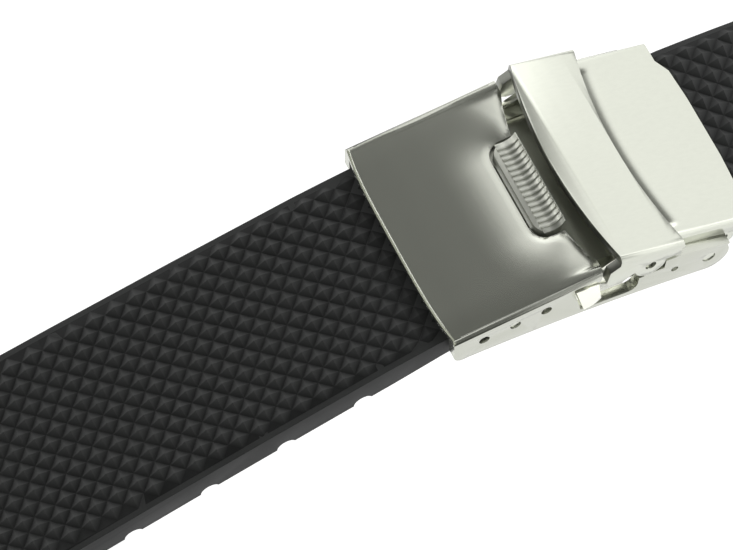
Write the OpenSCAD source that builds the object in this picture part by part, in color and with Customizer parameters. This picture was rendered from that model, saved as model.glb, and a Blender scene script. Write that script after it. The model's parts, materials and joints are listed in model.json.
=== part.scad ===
// Rubber watch strap with a three-fold steel clasp, closed, standing as an arch on its two lug ends.
// All drawing is done in the side frame of the clasp: x runs from the long strap to the short one,
// y across the strap and z away from the wrist. placed() then levels the arch on the ground plane.

/* [Strap] */
// Width between the watch lugs
lug_w = 22; // [20:0.5:24]
// Gap beside the rubber where it enters the clasp
side_gap = 0.4; // [0.3:0.05:0.6]
// Length of the long strap from bar to bar
long_len = 84; // [76:1:96]
// Length of the short strap from bar to bar
short_len = 70; // [62:1:80]
// Rubber thickness round the clasp bars
tail_t = 2.3; // [2.2:0.05:2.4]
// Rubber thickness along the strap
strap_t = 3; // [2.8:0.1:3.2]
// Rubber thickness at the watch lugs
lug_t = 4.4; // [4:0.1:5]
// Spacing of the vent grooves under the straps
groove_pitch = 7.8; // [7:0.1:9]
// Radius of a vent groove
groove_r = 0.9; // [0.6:0.1:1]

/* [Strap shape] */
// Slope of the long strap where it leaves its clasp bar, seen in the frame of the clasp
long_slope = 18.9; // [18:0.1:20]
// Slope of the long strap half way along
long_mid_slope = 22.1; // [21:0.1:24]
// Slope of the long strap at the lug
long_end_slope = 27.5; // [26:0.5:32]
// Rise of the short strap where it leaves its clasp bar
short_rise = 5.2; // [4:0.1:6]
// Slope of the short strap at the lug
short_end_slope = 22.5; // [18:0.5:28]

/* [Clasp cover] */
// Outer width of the cover
cover_w = 22; // [21.8:0.1:22.4]
// Thickness of the side walls
wall_t = 1; // [0.9:0.05:1]
// Thickness of the top plate
plate_t = 0.75; // [0.65:0.05:0.8]
// Length of the plate in front of the slot, at the sides
plate_len = 14.7; // [14.6:0.05:14.75]
// Height of the mouth edge above the datum of the clasp
mouth_z = 0.6; // [0.5:0.05:0.7]
// Height of the plate at the slot
crest_z = 3.4; // [3.35:0.05:3.5]
// Rounding of the long top edges
edge_r = 0.8; // [0.5:0.05:0.9]
// Spacing of the adjustment holes
adjust_pitch = 3; // [2.9:0.05:3.05]
// Radius of an adjustment hole
adjust_r = 0.52; // [0.5:0.01:0.6]
// Width of the notch that shows the thumb pad
notch_w = 10.6; // [9.6:0.1:11]
// Depth of the notch from the slot
notch_depth = 2.3; // [2:0.1:2.5]

/* [Safety flap] */
// Thickness of the flap plate
flap_t = 0.9; // [0.8:0.05:0.95]
// Drop from the raised band to the long plate of the flap
flap_step = 0.25; // [0.15:0.05:0.35]
// How far the raised band stands out past the cover at each side
band_over = 0.1; // [0:0.05:0.3]
// How far the long plate of the flap is set in from the band at each side
plate_inset = 1; // [0.8:0.05:1.2]
// Width of the finger lip at the free end
lip_w = 13; // [8:0.2:14]
// How far the finger lip stands out
lip_len = 1; // [0.8:0.1:1.3]

/* [Blades] */
// Thickness of both blades
blade_t = 0.9; // [0.7:0.05:0.95]
// How far the blades are set in from the inside of the walls
blade_inset = 2.2; // [2.1:0.1:3.2]
// Outer radius of the hinge knuckles
knuckle_r = 1.05; // [1:0.05:1.1]
// Radius of the hinge pins
hinge_pin_r = 0.6; // [0.5:0.05:0.7]

/* [Buttons] */
// How far a button stands out of the wall
button_proud = 0.8; // [0.5:0.05:0.9]
// Thickness of the button face, front to back
button_t = 2.3; // [2.1:0.05:2.5]

/* [Spring bars] */
// Radius of the clasp bar tubes
clasp_bar_r = 0.72; // [0.65:0.01:0.75]
// Radius of the lug bar tubes
lug_bar_r = 1; // [0.9:0.05:1.1]
// Radius of the bar tips
tip_r = 0.45; // [0.4:0.01:0.46]
// How far a lug tip reaches into its lug
lug_tip_out = 1; // [0.8:0.1:1.2]

/* [Hidden] */

RUBBER = "#2c2d2e";
STEEL = "#d4d5d0";
DARK_STEEL = "#8c8d88";

// Running clearance of a pin in its hole
run_gap = 0.03;
// Gap between faces that pass each other
face_gap = 0.15;
// Travel of a spring bar tip
tip_travel = 1;
// Travel of a button
button_travel = 0.8;
// Degrees in a radian
deg = 180 / PI;

cover_half = cover_w / 2;
inner_half = cover_half - wall_t;
tail_half = inner_half - side_gap;
band_half = cover_half + band_over;
middle_w = 2 * (inner_half - blade_inset);
lower_w = middle_w;

// Places in the side frame as [x, z]
mouth = [0, mouth_z];
crest = [plate_len, crest_z];
plate_bow = 0.15;
hole_depth = plate_t + face_gap + tail_t / 2;
flap_pivot = [19.3, 1.9];
cover_hinge = [25.7, -0.85];
blade_hinge = [9, -3.3];
short_bar = [28, -1.35];

// Point at share f of an arc from p to q whose middle stands s off the chord
function bow_point(p, q, s, f) = let (d = q - p, n = [-d.y, d.x] / norm(d))
    p + f * d + n * s * (1 - pow(2 * f - 1, 2));
function bow(p, q, s, steps) = [for (i = [0 : steps]) bow_point(p, q, s, i / steps)];
// Upward unit normal of a list of points at index i
function normal_at(pts, i) = let (a = pts[max(i - 1, 0)], b = pts[min(i + 1, len(pts) - 1)],
    d = b - a) [-d.y, d.x] / norm(d);
// Outline of a strip of thickness t whose upper face is the list of points
function strip_below(pts, t) = concat(pts,
    [for (i = [len(pts) - 1 : -1 : 0]) pts[i] - t * normal_at(pts, i)]);

function plate_z(x) = let (f = (x - mouth.x) / (crest.x - mouth.x))
    mouth.y + f * (crest.y - mouth.y) + plate_bow * (1 - pow(2 * f - 1, 2));
function adjust_hole(k) = let (x = 0.16 + adjust_pitch * k) [x, plate_z(x) - hole_depth];
long_bar = adjust_hole(2);

// Along and down after length s of a curve that turns steadily from slope a to slope b over length l
function turn(l, a, b, s) = let (c = a + (b - a) * s / l, r = l * deg / (b - a))
    [r * (sin(c) - sin(a)), r * (cos(a) - cos(c))];
long_half = long_len / 2;
function long_centre(s) = s <= long_half
    ? long_bar - turn(long_half, long_slope, long_mid_slope, s)
    : long_bar - turn(long_half, long_slope, long_mid_slope, long_half)
        - turn(long_half, long_mid_slope, long_end_slope, s - long_half);
function long_angle(s) = s <= long_half
    ? long_slope + (long_mid_slope - long_slope) * s / long_half
    : long_mid_slope + (long_end_slope - long_mid_slope) * (s - long_half) / long_half;
function short_turn(s) = turn(short_len, -short_rise, short_end_slope, s);
function short_centre(s) = short_bar + [short_turn(s).x, -short_turn(s).y];
function short_angle(s) = -short_rise + (short_end_slope + short_rise) * s / short_len;
tail_run = 7;
short_tail_run = 2.6;
// Full thickness is reached after length t
function thickness(s, l, t) = lookup(s, [[0, tail_t], [t * 0.35, tail_t], [t, strap_t],
    [l - 16, strap_t + 0.3], [l, lug_t]]);
function long_thick(s) = thickness(s, long_len, tail_run + 4);
function short_thick(s) = thickness(s, short_len, short_tail_run);

long_lug = long_centre(long_len);
short_lug = short_centre(short_len);
// The arch is turned until both lug ends are level, then set on the ground under its middle
level = atan2(short_lug.y - long_lug.y, short_lug.x - long_lug.x);
function turned(p) = [p.x * cos(level) + p.y * sin(level), p.y * cos(level) - p.x * sin(level)];
mid_x = (turned(long_lug).x + turned(short_lug).x) / 2;
foot_z = turned(long_lug).y - lug_t / 2;
function world(p) = turned(p) - [mid_x, foot_z];
echo(level = level, long_bar = world(long_bar), short_bar = world(short_bar));
echo(long_lug = world(long_lug), short_lug = world(short_lug));
echo(flap_pivot = world(flap_pivot), cover_hinge = world(cover_hinge));
echo(blade_hinge = world(blade_hinge), mouth = world(mouth), crest = world(crest));

module placed() {
    translate([-mid_x, 0, -foot_z]) rotate([0, level, 0]) children();
}

// A flat outline in x and z drawn out from y0 to y1
module side(y0, y1) {
    translate([0, y1, 0]) rotate([90, 0, 0]) linear_extrude(y1 - y0) children();
}

// A round bar across the strap
module rod(p, r, y0, y1) {
    translate([p.x, y0, p.y]) rotate([-90, 0, 0]) cylinder(r = r, h = y1 - y0, $fn = 48);
}

module tube(p, r, bore, y0, y1) {
    difference() {
        rod(p, r, y0, y1);
        rod(p, bore, y0 - 1, y1 + 1);
    }
}

module both() {
    children();
    mirror([0, 1, 0]) children();
}

// Bar with square ends and rounded upper corners along a chord, used to round long edges
module rounded_bar(p, q, w, r, over, deep) {
    d = q - p;
    translate([p.x, 0, p.y]) rotate([0, -atan2(d.y, d.x), 0]) translate([-over, 0, 0])
        rotate([90, 0, 90]) linear_extrude(norm(d) + 2 * over) {
            translate([-w / 2, -deep]) square([w, deep - r]);
            translate([-w / 2 + r, -r - 0.01]) square([w - 2 * r, r + 0.01]);
            for (s = [-1, 1]) translate([s * (w / 2 - r), -r]) circle(r = r, $fn = 48);
        }
}

/* Straps */
long_steps = 28;
short_steps = 24;

function long_face(sign) = [for (i = [0 : long_steps]) let (s = long_len * i / long_steps)
    long_centre(s) + sign * long_thick(s) / 2 * long_up(s)];
function short_face(sign) = [for (i = [0 : short_steps]) let (s = short_len * i / short_steps)
    short_centre(s) + sign * short_thick(s) / 2 * short_up(s)];
function reversed(pts) = [for (i = [len(pts) - 1 : -1 : 0]) pts[i]];

// Points of a half round end of radius r about c, from the side "up" round by the way "on"
cap_steps = 20;
function cap(c, r, up, on) = [for (i = [1 : cap_steps - 1])
    c + r * (cos(180 * i / cap_steps) * up + sin(180 * i / cap_steps) * on)];
function long_up(s) = [-sin(long_angle(s)), cos(long_angle(s))];
function short_up(s) = [sin(short_angle(s)), cos(short_angle(s))];
function long_on(s) = [-cos(long_angle(s)), -sin(long_angle(s))];
function short_on(s) = [cos(short_angle(s)), -sin(short_angle(s))];

module long_profile() {
    polygon(concat(long_face(1), cap(long_lug, lug_t / 2, long_up(long_len), long_on(long_len)),
        reversed(long_face(-1)), cap(long_bar, tail_t / 2, -long_up(0), -long_on(0))));
}

module short_profile() {
    polygon(concat(short_face(1), cap(short_lug, lug_t / 2, short_up(short_len), short_on(short_len)),
        reversed(short_face(-1)), cap(short_bar, tail_t / 2, -short_up(0), -short_on(0))));
}

lug_play = 0.1;
strap_half = lug_w / 2 - lug_play;

// Plan of a strap that widens from its tail to its lug end
module strap_plan(tail_x, start_x, lug_x) {
    translate([0, 0, -60]) linear_extrude(120)
        polygon([[tail_x, -tail_half], [start_x, -tail_half], [lug_x, -strap_half],
                 [lug_x, strap_half], [start_x, tail_half], [tail_x, tail_half]]);
}

// Plan of a strap whose narrow tongue steps out to the full tail width at its shoulders
module shouldered_plan(tail_x, shoulder_x, lug_x) {
    half = [[tail_x, tongue_half], [shoulder_x, tongue_half], [shoulder_x, tail_half],
        [shoulder_x + 9, tail_half], [lug_x, strap_half]];
    translate([0, 0, -60]) linear_extrude(120)
        polygon(concat([for (q = half) [q.x, -q.y]], reversed(half)));
}

groove_start = 15;
shoulder_run = 1.55;
module strap_long() {
    color(RUBBER) placed() difference() {
        intersection() {
            side(-strap_half, strap_half) long_profile();
            strap_plan(long_bar.x + tail_t, mouth.x, long_lug.x - lug_t);
        }
        rod(long_bar, clasp_bar_r + run_gap, -strap_half - 1, strap_half + 1);
        rod(long_lug, sleeve_r + 0.01, -strap_half - 1, strap_half + 1);
        for (s = [groove_start : groove_pitch : long_len - groove_pitch])
            rod(long_centre(s) - (long_thick(s) / 2 + 0.2) * long_up(s),
                groove_r, -strap_half - 1, strap_half + 1);
    }
}

module strap_short() {
    color(RUBBER) placed() difference() {
        intersection() {
            side(-strap_half, strap_half) short_profile();
            shouldered_plan(short_bar.x - tail_t, short_bar.x + shoulder_run, short_lug.x + lug_t);
        }
        rod(short_bar, clasp_bar_r + run_gap, -strap_half - 1, strap_half + 1);
        rod(short_lug, sleeve_r + 0.01, -strap_half - 1, strap_half + 1);
        for (s = [groove_start : groove_pitch : short_len - groove_pitch])
            rod(short_centre(s) - (short_thick(s) / 2 + 0.2) * short_up(s),
                groove_r, -strap_half - 1, strap_half + 1);
    }
}

/* Cover */
wall_bow = 0.55;
end_r = 2;
flap_ear_r = 1.5;
ear_r = 1.3;
flap_pin_r = 0.5;
side_sweep_r = 5;
deck_t = 0.55;
dimple = [22.2, -0.67];
dimple_r = 0.35;
dimple_deep = 0.5;
dimple_bump = 0.3;
sill_z = 0.25;
window_x = 11.6;
window_lean = 1.3;
window_end = 18.5;
window_floor = -1.75;
window_r = 0.9;
deck_start = 21;
deck_end = 27.6;
flap_front = 16;
flap_mid = 22.57;
flap_end = 29.5;
flap_front_z = 5.05;
flap_end_z = 2.35;
flap_bow = 0.1;
edge_arc_r = 32;
edge_bulge = 1.6;

function flap_z(x) = let (f = (x - flap_front) / (flap_end - flap_front))
    flap_front_z + f * (flap_end_z - flap_front_z) + flap_bow * (1 - pow(2 * f - 1, 2));
skirt_h = 1;
function deck_z(x) = flap_z(x) - flap_step - flap_t - skirt_h - face_gap;

window_top = plate_z(window_x) - plate_t;

module wall_outline() {
    difference() {
        union() {
            polygon(concat(bow([1, -2.9], [cover_hinge.x, cover_hinge.y - end_r], wall_bow, 10),
                [[cover_hinge.x + 1.2, cover_hinge.y], [deck_end, deck_z(deck_end)],
                 [deck_start, deck_z(deck_start)], [deck_start, sill_z], [plate_len, sill_z]],
                reversed(bow(mouth, crest, plate_bow, 10)), [[mouth.x + 0.35, -2]]));
            translate([cover_hinge.x, cover_hinge.y]) circle(r = end_r, $fn = 64);
            translate([1.3, -1.95]) circle(r = 0.97, $fn = 32);
        }
        polygon([[window_x, window_top], [window_x + window_lean, window_floor],
            [window_end - window_r, window_floor], [window_end - window_r, window_top]]);
        translate([window_end - window_r - 0.01, window_floor + 2 * window_r])
            square([window_r + 0.5, 5]);
        translate([window_end - window_r, window_floor + window_r]) circle(r = window_r, $fn = 40);
        translate([window_end - window_r - 0.02, window_floor + window_r])
            square([window_r + 0.02, 5]);
        polygon([[deck_start, deck_z(deck_start)], [deck_end, deck_z(deck_end)],
            [deck_end, 5], [deck_start, 5]]);
    }
}

// Plan of the slot edge with its D notch, as one upright cutter
module slot_cutter() {
    tall = 20;
    x0 = plate_len - edge_bulge;
    corner = 1.6;
    translate([x0 + edge_arc_r, 0, 0]) cylinder(r = edge_arc_r, h = tall, $fn = 180);
    translate([x0 - notch_depth, -notch_w / 2 + corner, 0]) cube([6, notch_w - 2 * corner, tall]);
    translate([x0 - notch_depth + corner, -notch_w / 2, 0]) cube([6, notch_w, tall]);
    for (s = [-1, 1]) translate([x0 - notch_depth + corner, s * (notch_w / 2 - corner), 0])
        cylinder(r = corner, h = tall, $fn = 48);
}

module plate_and_walls() {
    difference() {
        intersection() {
            union() {
                both() side(-cover_half, -inner_half) wall_outline();
                side(-inner_half - 0.1, inner_half + 0.1)
                    polygon(strip_below(bow(mouth, [plate_len + 0.6, crest_z + 0.05], plate_bow, 10), plate_t));
            }
            rounded_bar(mouth + [0, plate_bow], [plate_len, crest_z + plate_bow], cover_w, edge_r, 30, 20);
        }
        translate([0, 0, sill_z + 1.2]) slot_cutter();
        both() difference() {
            rod(flap_pivot, side_sweep_r, -cover_half - 1, -inner_half + 1.5);
            translate([0, -20, sill_z - 9]) cube([40, 20, 9]);
            translate([deck_start, -20, -5]) cube([20, 20, 15]);
        }
    }
}

// Upright lug inside the wall that carries the flap pin
module ear() {
    side(-inner_half - 0.05, -inner_half + 1) {
        translate(flap_pivot) circle(r = ear_r, $fn = 48);
        translate([flap_pivot.x - ear_r, -1]) square([2 * ear_r, flap_pivot.y + 1]);
    }
}

module deck() {
    side(-inner_half - 0.1, inner_half + 0.1)
        polygon(strip_below([for (i = [0 : 4]) let (x = deck_start + (deck_end - deck_start) * i / 4)
            [x, deck_z(x)]], deck_t));
}

module cover() {
    color(STEEL) placed() difference() {
        union() {
            plate_and_walls();
            deck();
            both() ear();
            both() rod(dimple, dimple_r, -inner_half - 0.1, -inner_half + dimple_bump);
        }
        for (k = [1 : 3]) rod(adjust_hole(k), adjust_r, -cover_half - 1, cover_half + 1);
        rod(flap_pivot, flap_pin_r + run_gap, -cover_half - 1, cover_half + 1);
        rod(cover_hinge, hinge_pin_r + run_gap, -cover_half - 1, cover_half + 1);
        both() rod(dimple, dimple_r, -cover_half - 1, -cover_half + dimple_deep);
    }
}

/* Thumb pad */
pad_gap = 0.35;
pad_len = 4;
pad_flat = 1.2;
sweep_r = 5.95;
pad_t = 1.05;
pad_ribs = 16;
pad_rib_half = 0.13;
pad_rib_h = 0.13;
scoop_r = 1.25;
scoop_turn = 78;
tray_half = inner_half - 1.7;
tray_x = 13.7;
tray_end = 17;
tray_z = 0.05;
tray_t = 0.4;
pad_corner = 1.3;
wing_half = inner_half - 2;
wing_in = 3.5;
wing_t = 0.5;
leg_in = 5.2;
leg_t = 0.7;
leg_foot = -0.9;

function raised(pts, h) = [for (i = [0 : len(pts) - 1]) pts[i] + h * normal_at(pts, i)];

module thumb_pad() {
    x0 = plate_len - edge_bulge - notch_depth + pad_gap;
    half = notch_w / 2 - pad_gap;
    top = plate_z(x0) - 0.05;
    wing_x = x0 - 1.3;
    wing_top = plate_z(wing_x) - plate_t - 0.06;
    scoop = concat([[x0 + 0.5, top]], [for (a = [0 : scoop_turn / 6 : scoop_turn + 0.1])
        [x0 + pad_flat + scoop_r * sin(a), top + scoop_r * (1 - cos(a))]]);
    scoop_top = scoop[len(scoop) - 1].y;
    color(DARK_STEEL) placed() {
        difference() {
            union() {
                translate([x0, -half + pad_corner, top - pad_t]) cube([pad_len, 2 * (half - pad_corner), pad_t]);
                translate([x0 + pad_corner, -half, top - pad_t]) cube([pad_len - pad_corner, 2 * half, pad_t]);
                for (s = [-1, 1]) translate([x0 + pad_corner, s * (half - pad_corner), top - pad_t])
                    cylinder(r = pad_corner, h = pad_t, $fn = 40);
                side(-half, half) polygon(concat(scoop, [[x0 + pad_len, scoop_top], [x0 + pad_len, top - pad_t],
                    [x0 + pad_corner, top - pad_t]]));
                for (i = [0 : pad_ribs - 1]) let (y = -half + 0.6 + (2 * half - 1.2) * i / (pad_ribs - 1))
                    side(y - pad_rib_half, y + pad_rib_half) polygon(strip_below(raised(scoop, pad_rib_h), 0.4));
                both() translate([wing_x, -wing_half, wing_top - wing_t])
                    cube([3.6, wing_half - wing_in, wing_t]);
            }
            rod(flap_pivot, sweep_r, -cover_half, cover_half);
        }
        side(-tray_half, tray_half) translate([tray_x, tray_z - tray_t]) square([tray_end - tray_x, tray_t]);
        both() translate([post_x, -leg_in - leg_t, tray_z - tray_t]) cube([tray_x - post_x + 0.3, leg_t, tray_t]);
        both() translate([post_x, -leg_in - leg_t, leg_foot])
            cube([post_len + 0.1, leg_t, wing_top - leg_foot - 0.1]);
    }
}

/* Safety flap */
groove_arc_r = 42;
band_bulge = 1.5;

module flap_outline(x0, x1, drop, t) {
    steps = 10;
    polygon(strip_below([for (i = [0 : steps]) let (x = x0 + (x1 - x0) * i / steps)
        [x, flap_z(x) - drop]], t));
}

module band_disc(x) {
    translate([x + groove_arc_r, 0, -10]) cylinder(r = groove_arc_r, h = 30, $fn = 240);
}

// Plan of the finger lip, with slanted corners and a slightly bowed front
module lip_plan(half, reach) {
    slant = 1.3;
    polygon([[-1, -half - slant], [0, -half - slant], [reach - 0.2, -half], [reach, -half / 2],
        [reach, half / 2], [reach - 0.2, half], [0, half + slant], [-1, half + slant]]);
}

module safety_flap() {
    tail_plate_half = band_half - plate_inset;
    band_w = 2 * band_half;
    tail_plate_w = 2 * tail_plate_half;
    flange_t = 0.9;
    chord_a = [flap_front, flap_z(flap_front)];
    chord_b = [flap_end, flap_z(flap_end)];
    color(STEEL) placed() difference() {
        union() {
            intersection() {
                side(-band_half, band_half) flap_outline(flap_front - band_bulge - 1, flap_mid + 0.2, 0, flap_t);
                band_disc(flap_front - band_bulge);
                rounded_bar(chord_a + [0, flap_bow], chord_b + [0, flap_bow], band_w, edge_r, 6, 8);
                difference() {
                    translate([0, -20, -10]) cube([40, 40, 30]);
                    band_disc(flap_mid - band_bulge);
                }
            }
            intersection() {
                union() {
                    side(-tail_plate_half, tail_plate_half) flap_outline(flap_mid - 2.6, flap_end, flap_step, flap_t);
                    intersection() {
                        side(-cover_half, cover_half)
                            flap_outline(flap_end - 1, flap_end + lip_len, flap_step, flap_t);
                        translate([flap_end, 0, -10]) linear_extrude(30) lip_plan(lip_w / 2, lip_len);
                    }
                    both() side(-tail_plate_half, -tail_plate_half + 0.8)
                        flap_outline(flap_mid - 1, flap_end - 0.4, flap_step + flap_t - 0.1, skirt_h);
                }
                rounded_bar(chord_a + [0, flap_bow - flap_step], chord_b + [0, flap_bow - flap_step],
                    tail_plate_w, edge_r, 6, 8);
            }
            both() side(-band_half, -band_half + flange_t) {
                polygon([[flap_front, flap_z(flap_front) - edge_r], [flap_front, 3.75], [15.1, 3.1], [14.95, 1.6],
                    [15.15, 1.05], [15.8, 0.7], [16.5, 0.66], [17.1, 1.15], [17.75, 1.6], [18.15, 0.94],
                    [19.3, 0.6], [20.5, 1.1], [20.85, 2.1], [22.3, 2.1],
                    [22.3, flap_z(22.3) - edge_r]]);
                translate(flap_pivot) circle(r = flap_ear_r, $fn = 48);
            }
        }
        rod(flap_pivot, flap_pin_r + run_gap, -20, 20);
    }
}

module flap_pin() {
    color(DARK_STEEL) placed() rod(flap_pivot, flap_pin_r, -band_half + 0.2, band_half - 0.2);
}

/* Push buttons with their crossed catch arms */
arm_z = 0.3;
arm_t = 0.6;
arm_w = 0.6;
post_x = 11.35;
post_len = 1.15;
post_half = 2;
post_top = 1.6;
hook_in = 0.5;
hook_len = 1.6;
hook_t = 1.2;
front_arm_x = post_x - face_gap - arm_w;
rear_arm_x = post_x + post_len + 0.35;
flange_x = 10.4;
flange_t = 0.65;
flange_low = -2.3;
flange_top = 1.65;
flange_step_x = 14.2;
flange_end_x = 17.75;
shelf_in = 8.1;
shelf_top = 0.5;
shelf_t = 0.3;
screen_top = 2.3;
tab_low = -0.3;
tab_sweep_r = 5.2;
face_round = 5;
face_round_x = 12.6;
face_lean = 0.75;

module sided(s) {
    if (s > 0) mirror([0, 1, 0]) children();
    else children();
}

// Outline of the thumb face: leaning at the left and hollow round the flap at the right
module tab_outline() {
    lean = window_lean / (window_top - window_floor);
    left = window_x + face_gap + 0.01;
    tab_top = window_top - face_gap;
    difference() {
        polygon([[left + lean * face_gap, tab_top], [left + lean * (window_top - tab_low), tab_low],
            [13.4, tab_low], [14.2, tab_low + 0.15], [15.1, tab_low + 0.45], [15.1, tab_top]]);
        translate(flap_pivot) circle(r = tab_sweep_r, $fn = 120);
    }
}

// Space in front of the wall that the bowed thumb face may fill
module face_space(out) {
    high = window_top - tab_low;
    intersection() {
        translate([face_round_x, -out + face_round, -4]) cylinder(r = face_round, h = 9, $fn = 180);
        translate([5, 0, 0]) rotate([90, 0, 90]) linear_extrude(20)
            polygon(concat([for (k = [0 : 12]) let (z = tab_low + high * k / 10)
                [-out + face_lean * pow((z - tab_low) / high, 2), z]], [[0, 4], [0, -4], [-out, -4]]));
    }
}

module button(s) {
    out = cover_half + button_proud;
    arm_x = s < 0 ? front_arm_x : rear_arm_x;
    hook_x = s < 0 ? front_arm_x : rear_arm_x + arm_w - hook_len;
    color(STEEL) placed() sided(s) {
        intersection() {
            side(-out, -out + button_t) tab_outline();
            face_space(out);
        }
        side(-inner_half + face_gap, -inner_half + face_gap + flange_t) {
            translate([flange_x, flange_low]) square([flange_step_x - flange_x, flange_top - flange_low]);
            polygon([[flange_x, flange_low], [flange_x, shelf_top], [flange_step_x, shelf_top],
                [flange_step_x + 0.7, shelf_top], [flange_end_x, screen_top], [flange_end_x, flange_low]]);
        }
        side(-inner_half + face_gap + 0.1, -shelf_in)
            translate([flange_step_x, shelf_top - shelf_t]) square([flange_end_x - flange_step_x, shelf_t]);
        translate([arm_x, -inner_half + 0.4, arm_z])
            cube([arm_w, inner_half - 0.4 + post_half + 1.2, arm_t]);
        translate([hook_x, post_half - hook_in, arm_z]) cube([hook_len, hook_t, arm_t]);
    }
}

module button_front() {
    button(-1);
}

module button_rear() {
    button(1);
}

// Drawn at its closed length, so that the button can travel in
button_spring_r = 0.6;
button_spring_place = [11.95, -0.3];

module button_spring(s) {
    flange_in = inner_half - face_gap - flange_t;
    color(DARK_STEEL) placed() sided(s) tube(button_spring_place, button_spring_r, button_spring_r * 0.6,
        -flange_in + button_travel + 0.05, -leg_in - leg_t - 0.05);
}

module button_spring_front() {
    button_spring(-1);
}

module button_spring_rear() {
    button_spring(1);
}

/* Blades */
blade_lift = 0.55;
middle_bow = 0.6;
lower_bow = 0.9;
lower_end = [cover_hinge.x, -2.65];
lug_end_x = 26.9;
knuckle_split = 3.3;
blade_cut = knuckle_r + 0.25;
window_half = 4;
blade_window_end = 15.4;
bar_ear_t = 1;
bar_ear_in = tail_half - face_gap - bar_ear_t;
tongue_half = bar_ear_in - face_gap;
bar_ear_r = 1.2;
middle_knuckle_half = bar_ear_in - face_gap;

module blade_strip(p, q, s, w) {
    side(-w / 2, w / 2) polygon(strip_below(bow(p + [0, blade_t / 2], q + [0, blade_t / 2], s, 14), blade_t));
}

module middle_blade() {
    color(STEEL) placed() difference() {
        union() {
            blade_strip(blade_hinge + [0, blade_lift], cover_hinge, middle_bow, middle_w);
            rod(cover_hinge, knuckle_r, -middle_knuckle_half, middle_knuckle_half);
            rod(blade_hinge, knuckle_r, -middle_w / 2, middle_w / 2);
        }
        translate([blade_hinge.x - 3, -knuckle_split - face_gap / 2, blade_hinge.y - 3])
            cube([3 + blade_cut, 2 * knuckle_split + face_gap, 6]);
        translate([blade_hinge.x + blade_cut - 0.1, -window_half, -5])
            cube([blade_window_end - blade_hinge.x - blade_cut + 0.1, 2 * window_half, 6]);
        rod(cover_hinge, hinge_pin_r + run_gap, -12, 12);
        rod(blade_hinge, hinge_pin_r + run_gap, -12, 12);
    }
}

module lower_blade() {
    outer = bar_ear_in + bar_ear_t;
    end_top = lower_end.y + blade_t / 2;
    end_low = lower_end.y - blade_t / 2;
    color(STEEL) placed() difference() {
        union() {
            blade_strip(blade_hinge - [0, blade_lift], lower_end, lower_bow, lower_w);
            side(-outer, outer) polygon([[24.8, end_low + 0.1], [24.8, end_top + 0.1],
                [lug_end_x, end_top], [lug_end_x, end_low]]);
            rod(blade_hinge, knuckle_r, -lower_w / 2, lower_w / 2);
            both() side(-outer, -bar_ear_in) {
                translate(short_bar) circle(r = bar_ear_r, $fn = 48);
                polygon([[25.6, end_low], [lug_end_x, end_low], [27.8, -2.53], [29, -1.75],
                    [28, -0.2], [26.9, -1.4], [25.6, end_top]]);
            }
        }
        both() translate([blade_hinge.x - 3, knuckle_split - face_gap / 2, blade_hinge.y - 3])
            cube([3 + blade_cut, 9, 6]);
        rod(blade_hinge, hinge_pin_r + run_gap, -12, 12);
        rod(short_bar, tip_r + 0.07, -12, 12);
    }
}

module catch_post() {
    seat = blade_t / 2 + 0.02;
    color(STEEL) placed() difference() {
        translate([post_x, -post_half, -4]) cube([post_len, 2 * post_half, post_top + 4]);
        side(-5, 5) polygon(strip_below(bow(blade_hinge - [0, blade_lift - seat],
            lower_end + [0, seat], lower_bow, 14), 4));
        both() translate([post_x - 1, post_half - hook_in - 0.1, arm_z - 0.1])
            cube([post_len + 2, 2, arm_t + 0.2]);
    }
}

module cover_hinge_pin() {
    color(DARK_STEEL) placed() rod(cover_hinge, hinge_pin_r, -cover_half + 0.1, cover_half - 0.1);
}

module blade_hinge_pin() {
    color(DARK_STEEL) placed() rod(blade_hinge, hinge_pin_r, -lower_w / 2 + 0.1, lower_w / 2 - 0.1);
}

/* Spring bars */
sleeve_t = 0.25;
sleeve_r = lug_bar_r + 0.05 + sleeve_t;
stem_len = 3;
clasp_stem_r = 0.5;
lug_stem_r = 0.7;

module bar_tube(p, r, stem_r, half) {
    color(STEEL) placed() tube(p, r, stem_r + run_gap, -half, half);
}

// A tip with its thicker stem, which slides in the tube
module bar_tip(p, s, stem_r, half, shoulder, out) {
    color(STEEL) placed() sided(s) {
        rod(p, tip_r, -out, -shoulder + 0.1);
        rod(p, stem_r, -shoulder, -half + stem_len);
    }
}

// Spring drawn at its closed length, so that both tips can travel in
module bar_spring(p, stem_r, half) {
    spring_half = half - stem_len - tip_travel - 0.05;
    color(DARK_STEEL) placed() tube(p, stem_r - 0.05, 0.27, -spring_half, spring_half);
}

long_bar_half = tail_half + 0.1;
long_tip_out = cover_half - 0.15;
short_bar_half = tongue_half + 0.05;
short_tip_out = bar_ear_in + bar_ear_t - 0.1;
lug_bar_half = strap_half - 0.05;
lug_shoulder = strap_half + lug_play / 2;
lug_tip_end = strap_half + lug_play + lug_tip_out;

module long_bar_tube() {
    bar_tube(long_bar, clasp_bar_r, clasp_stem_r, long_bar_half);
}

module long_bar_spring() {
    bar_spring(long_bar, clasp_stem_r, long_bar_half);
}

module long_bar_tip_front() {
    bar_tip(long_bar, -1, clasp_stem_r, long_bar_half, long_bar_half + 0.05, long_tip_out);
}

module long_bar_tip_rear() {
    bar_tip(long_bar, 1, clasp_stem_r, long_bar_half, long_bar_half + 0.05, long_tip_out);
}

module short_bar_tube() {
    bar_tube(short_bar, clasp_bar_r, clasp_stem_r, short_bar_half);
}

module short_bar_spring() {
    bar_spring(short_bar, clasp_stem_r, short_bar_half);
}

module short_bar_tip_front() {
    bar_tip(short_bar, -1, clasp_stem_r, short_bar_half, short_bar_half + 0.02, short_tip_out);
}

module short_bar_tip_rear() {
    bar_tip(short_bar, 1, clasp_stem_r, short_bar_half, short_bar_half + 0.02, short_tip_out);
}

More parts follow.
